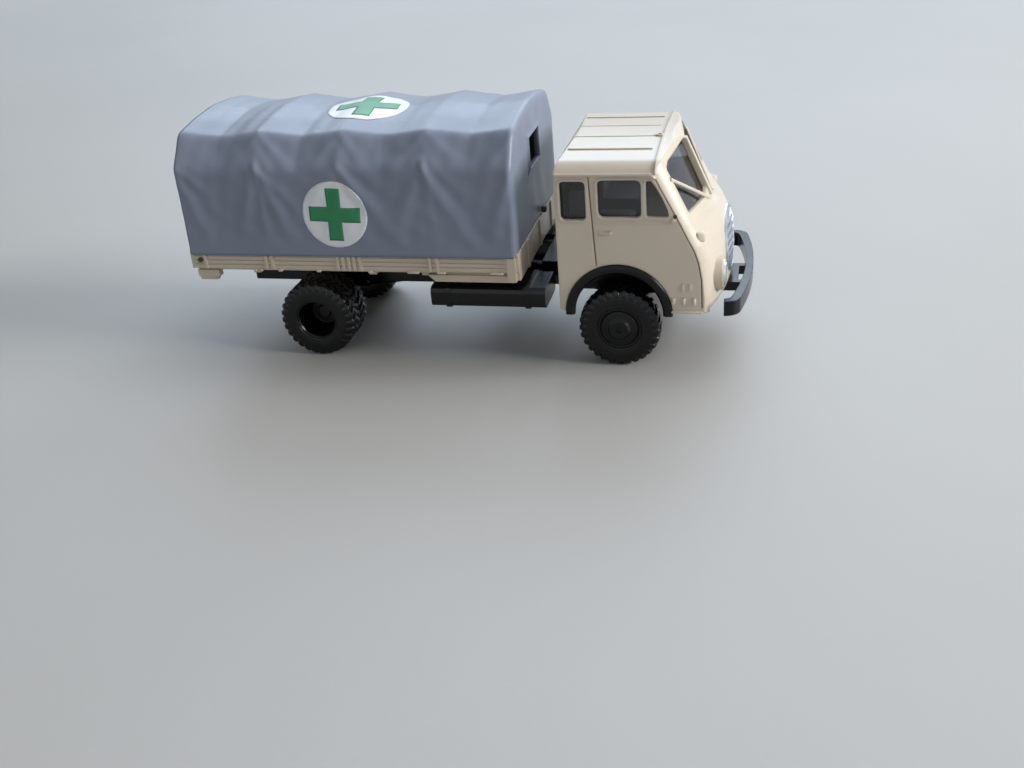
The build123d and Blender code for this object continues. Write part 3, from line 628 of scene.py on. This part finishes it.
# Half of a tyre's outline from bead to middle: radius, distance from the middle, groove depth
FREE_SIDE = [
    (2.90, 1.36, 0), (2.98, 1.44, 0), (3.12, 1.49, 0), (3.22, 1.45, 0), (3.32, 1.49, 0),
    (3.7, 1.5, 0), (4.1, 1.5, 0), (4.24, 1.5, 0), (4.31, 1.46, 0.02), (4.40, 1.49, 0.06),
    (4.58, 1.48, 0.15), (4.78, 1.45, 0.22), (4.98, 1.37, 0.25), (5.16, 1.26, 0.26),
    (5.30, 1.13, 0.27), (5.375, 0.99, 0.27), (5.395, 0.85, 0.26), (5.398, 0.7, 0.25),
    (5.398, 0.56, 0.24), (5.398, 0.42, 0.22), (5.398, 0.28, 0.20), (5.398, 0.14, 0.18),
    (5.398, 0.0, 0.17),
]

# The same half outline where a twin tyre faces its neighbour
TWIN_SIDE = [
    (2.90, 1.36, 0), (3.0, 1.46, 0), (3.3, 1.5, 0), (3.8, 1.5, 0), (4.3, 1.5, 0),
    (4.6, 1.5, 0.02), (4.9, 1.52, 0.1), (5.15, 1.54, 0.2), (5.33, 1.54, 0.26),
    (5.39, 1.46, 0.27), (5.398, 1.3, 0.27), (5.398, 1.1, 0.26), (5.398, 0.9, 0.25),
    (5.398, 0.7, 0.24), (5.398, 0.56, 0.23), (5.398, 0.42, 0.22), (5.398, 0.28, 0.20),
    (5.398, 0.14, 0.18), (5.398, 0.0, 0.17),
]


def tyre_lug(turns, y, phase, slant):
    """1 on a lug and 0 in the groove beside it; the two sides' slanting lugs alternate."""
    across = abs(y)
    shift = slant * (HALF_WIDTH - across) + (0.5 if y < 0 else 0)
    f = (turns + phase + shift) % 1
    d = min(f, 1 - f)
    width = 0.27 + 0.03 * smooth_step(0.5, 1.3, across)
    return 1 - smooth_step(width - 0.055, width + 0.055, d)


def tyre(name, node, x, y_mid, body, phase, slant, depth, left=FREE_SIDE, right=FREE_SIDE):
    """A lugged tyre in place of a node.

    left and right are the half outlines on its two sides, phase and slant turn and tilt its lugs,
    and depth is the share of the grooves' depth that it takes.
    """
    outline = left + [(r, -y, d) for r, y, d in right[-2::-1]]
    columns = LUGS * PER_LUG
    points, quads = [], []
    for i in range(columns):
        a = 2 * math.pi * i / columns
        turns = LUGS * i / columns
        for r, y, d in outline:
            groove = depth * d * (1 - tyre_lug(turns, y, phase, slant))
            side_groove = math.copysign(0.5 * groove, y) * smooth_step(0.9, HALF_WIDTH, abs(y))
            r2 = r - groove
            points.append(P(x + r2 * math.cos(a), y_mid + y - side_groove,
                            AXLE_Z + r2 * math.sin(a)))
    count = len(outline)
    for i in range(columns):
        near, far = i * count, (i + 1) % columns * count
        for j in range(count):
            m = (j + 1) % count
            quads.append((near + j, far + j, far + m, near + m))
    o = mesh_object(name, points, quads, tyre_black, body)
    face_outwards(o)
    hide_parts(node)


for label, side in (("left", 1), ("right", -1)):
    left_half, right_half = (FREE_SIDE, TWIN_SIDE) if side > 0 else (TWIN_SIDE, FREE_SIDE)
    tyre("tyre_front_" + label, "front_tyre_" + label, FRONT_AXLE, side * OUTER_Y,
         "front_wheels", 0.0, 0.25 * side, 0.9)
    tyre("tyre_rear_outer_" + label, "rear_outer_tyre_" + label, REAR_AXLE, side * OUTER_Y,
         "rear_wheels", 0.0, 0.45 * side, 0.85, left_half, right_half)
    tyre("tyre_rear_inner_" + label, "rear_inner_tyre_" + label, REAR_AXLE,
         side * (OUTER_Y - TWIN), "rear_wheels", 0.5, 0.45 * side, 0.85, right_half, left_half)


# Small fittings on the truck

def rounded_box(name, centre, size, material, turn, radius):
    """A box with rounded edges, turned about the vertical."""
    bm = bmesh.new()
    bmesh.ops.create_cube(bm, size=1)
    for v in bm.verts:
        v.co = Vector((v.co.x * size[0], v.co.y * size[1], v.co.z * size[2]))
    bmesh.ops.bevel(bm, geom=bm.edges[:], offset=radius, segments=3, profile=0.5, affect="EDGES")
    spin = Matrix.Rotation(turn, 3, "Z")
    points = [P(*(Vector(centre) + spin @ v.co)) for v in bm.verts]
    bm.verts.index_update()
    box_faces = [tuple(v.index for v in f.verts) for f in bm.faces]
    bm.free()
    mesh_object(name, points, box_faces, material, "truck")


def seam(name, line, y, width, material):
    """Painted shade in a panel joint: a thin dark closed strip on the floor of its groove."""
    points, strip = [], []
    half = width / 2
    for x, z in line:
        for dx, dy in ((-half, -0.04), (half, -0.04), (half, 0.04), (-half, 0.04)):
            points.append(P(x + dx, y + dy, z))
    for i in range(len(line) - 1):
        for j in range(4):
            k = (j + 1) % 4
            strip.append((i * 4 + j, i * 4 + k, i * 4 + 4 + k, i * 4 + 4 + j))
    strip += [(0, 1, 2, 3), tuple(len(points) - 1 - j for j in range(4))]
    face_outwards(mesh_object(name, points, strip, material, "truck", smooth=False))


def disc(name, centre, radius, thick, material):
    """A small round disc whose axis runs along y, used for the painted shade of a hole."""
    around = 28
    points = []
    for t in (-thick, thick):
        for i in range(around):
            a = 2 * math.pi * i / around
            points.append(P(centre[0] + radius * math.cos(a), centre[1] + t,
                            centre[2] + radius * math.sin(a)))
    sides = []
    for i in range(around):
        k = (i + 1) % around
        sides.append((i, k, around + k, around + i))
    sides += [tuple(range(around)), tuple(range(around, 2 * around))]
    face_outwards(mesh_object(name, points, sides, material, "truck", smooth=False))


# Where the nubs under the side boards begin and end
NUBS = ((-7.5, -7.0), (-6.7, -6.2), (-3.9, -3.3), (1.7, 2.3), (9.1, 9.7), (14.6, 16.2),
        (18.7, 19.9), (25.9, 27.7))
FRONT_SEAM = [(47.45, 25.6), (50.2, 20.3), (51.35, 17.9), (52.2, 16.3), (52.75, 14.6),
              (53.1, 12.4), (53.2, 8.6)]
DOOR_SEAM = [(39.19, 25.8), (39.79, 14.3)]

for label, side in (("left", 1), ("right", -1)):
    rounded_box("marker_" + label, (52.75, side * 11.45, 17.7), (1.3, 1.0, 1.35), cream,
                -side * 0.48, 0.3)
    for number, (x0, x1) in enumerate(NUBS):
        # The nubs take the bed's darker cream, which is painted shade.
        rounded_box("rail_nub_%d_%s" % (number, label), ((x0 + x1) / 2, side * 13.72, 13.22),
                    (x1 - x0, 0.42, 0.34), shaded_bed_cream, 0, 0.1)
    for number, x in enumerate((49.57, 50.87, 52.17)):
        rounded_box("louvre_%d_%s" % (number, label), (x, side * 12.98, 9.5), (0.46, 0.46, 0.84),
                    cream, 0, 0.12)
    rounded_box("sill_" + label, (51.2, side * 12.9, 8.02), (4.3, 0.5, 0.3), cream, 0, 0.1)
    # The seam strips are painted shade in the grooves.
    seam("front_seam_" + label, FRONT_SEAM, side * 12.79, 0.10, joint)
    seam("door_seam_" + label, DOOR_SEAM, side * 12.78, 0.07, joint)
    # These dark brown discs are painted shade, standing for the dark insides of a hole in the cab
    # and a stake hole.
    disc("cab_hole_" + label, (49.85, side * 12.9, 20.85), 0.24, 0.12, brown)
    disc("stake_hole_" + label, (-15.35, side * 13.72, 14.55), 0.34, 0.14, brown)
rounded_box("board_bracket", (30.1, 2.3, 16.5), (0.7, 0.9, 0.9), brown, 0, 0.15)


# Floor and backdrop: pale paper that fades into an even backdrop away from the truck

BACKDROP = (0.56, 0.59, 0.63, 1)
FADE_START, FADE_END = 0.33, 0.70            # metres from the middle of the floor


def background_rays(tree):
    """1 for the rays that show the background: camera, glossy and transmission rays."""
    path = tree.nodes.new("ShaderNodeLightPath")
    result = path.outputs["Is Camera Ray"]
    for ray in ("Is Glossy Ray", "Is Transmission Ray"):
        larger = tree.nodes.new("ShaderNodeMath")
        larger.operation = "MAXIMUM"
        tree.links.new(result, larger.inputs[0])
        tree.links.new(path.outputs[ray], larger.inputs[1])
        result = larger.outputs["Value"]
    return result


def mix_shaders(tree, share, first, second, output):
    """Send a mix of two shaders to an output node's surface."""
    mix = tree.nodes.new("ShaderNodeMixShader")
    tree.links.new(share, mix.inputs["Fac"])
    tree.links.new(first, mix.inputs[1])
    tree.links.new(second, mix.inputs[2])
    tree.links.new(mix.outputs["Shader"], tree.nodes[output].inputs["Surface"])


bpy.ops.mesh.primitive_plane_add(size=16, location=(0, 0, 0))
floor = bpy.context.object
floor.name = "floor"
paper = Mat("floor_paper")
paper.link(paper.ramp(paper.noise(9, 5), (0.3, (0.455, 0.44, 0.412)),
                      (0.7, (0.49, 0.475, 0.447))), "Base Color")
paper.set(Roughness=0.5, Specular_IOR_Level=0.4)
paper.bump(paper.noise(700, 3), 0.0001, 0.2)
distance = paper.tree.nodes.new("ShaderNodeVectorMath")
distance.operation = "LENGTH"
paper.tree.links.new(paper.coord, distance.inputs[0])
fade = paper.tree.nodes.new("ShaderNodeMapRange")
fade.interpolation_type = "SMOOTHSTEP"
fade.inputs["From Min"].default_value = FADE_START
fade.inputs["From Max"].default_value = FADE_END
paper.tree.links.new(distance.outputs["Value"], fade.inputs["Value"])
seen = paper.tree.nodes.new("ShaderNodeMath")
seen.operation = "MULTIPLY"
paper.tree.links.new(fade.outputs["Result"], seen.inputs[0])
paper.tree.links.new(background_rays(paper.tree), seen.inputs[1])
even = paper.tree.nodes.new("ShaderNodeEmission")
even.inputs["Color"].default_value = BACKDROP
mix_shaders(paper.tree, seen.outputs["Value"], paper.shader.outputs["BSDF"],
            even.outputs["Emission"], "Material Output")
paper.material.cycles.emission_sampling = "NONE"
floor.data.materials.append(paper.material)

world = bpy.data.worlds.new("studio")
world.use_nodes = True
sky_light = world.node_tree.nodes["Background"]
sky_light.inputs["Color"].default_value = (0.80, 0.88, 1.0, 1)
sky_light.inputs["Strength"].default_value = 0.22
backdrop = world.node_tree.nodes.new("ShaderNodeBackground")
backdrop.inputs["Color"].default_value = BACKDROP
mix_shaders(world.node_tree, background_rays(world.node_tree),
            sky_light.outputs["Background"], backdrop.outputs["Background"], "World Output")
bpy.context.scene.world = world


# Lamps: a key in front of the truck, a cooler one on its left, a weak fill on its right, and
# soft daylight from above

def add_lamp(name, kind, energy, color):
    """A lamp of a kind, turned by a quaternion."""
    data = bpy.data.lights.new(name, kind)
    data.energy = energy
    data.color = color
    o = bpy.data.objects.new(name, data)
    bpy.context.scene.collection.objects.link(o)
    o.rotation_mode = "QUATERNION"
    return o


def area(name, location, target, size, energy, color):
    """A rectangular lamp at a place, aimed at a target."""
    o = add_lamp(name, "AREA", energy, color)
    o.data.shape = "RECTANGLE"
    o.data.size, o.data.size_y = size
    o.location = location
    o.rotation_quaternion = (Vector(location) - Vector(target)).to_track_quat("Z", "Y")


area("key", (0.60, -0.02, 0.27), (0.02, 0, 0.015), (0.30, 0.26), 4.1, (0.98, 0.985, 1.0))
area("sky", (-0.05, 0.50, 0.36), (0.0, 0, 0.02), (0.60, 0.30), 2.1, (0.68, 0.83, 1.0))
area("fill", (-0.10, -0.55, 0.30), (0.0, 0, 0.01), (0.6, 0.4), 0.30, (1.0, 0.95, 0.88))
day = add_lamp("day", "SUN", 0.9, (0.90, 0.95, 1.0))
day.data.angle = 0.7
day.rotation_quaternion = Vector((0.35, 0.45, 1.0)).to_track_quat("Z", "Y")
bpy.context.scene.view_settings.view_transform = "Standard"
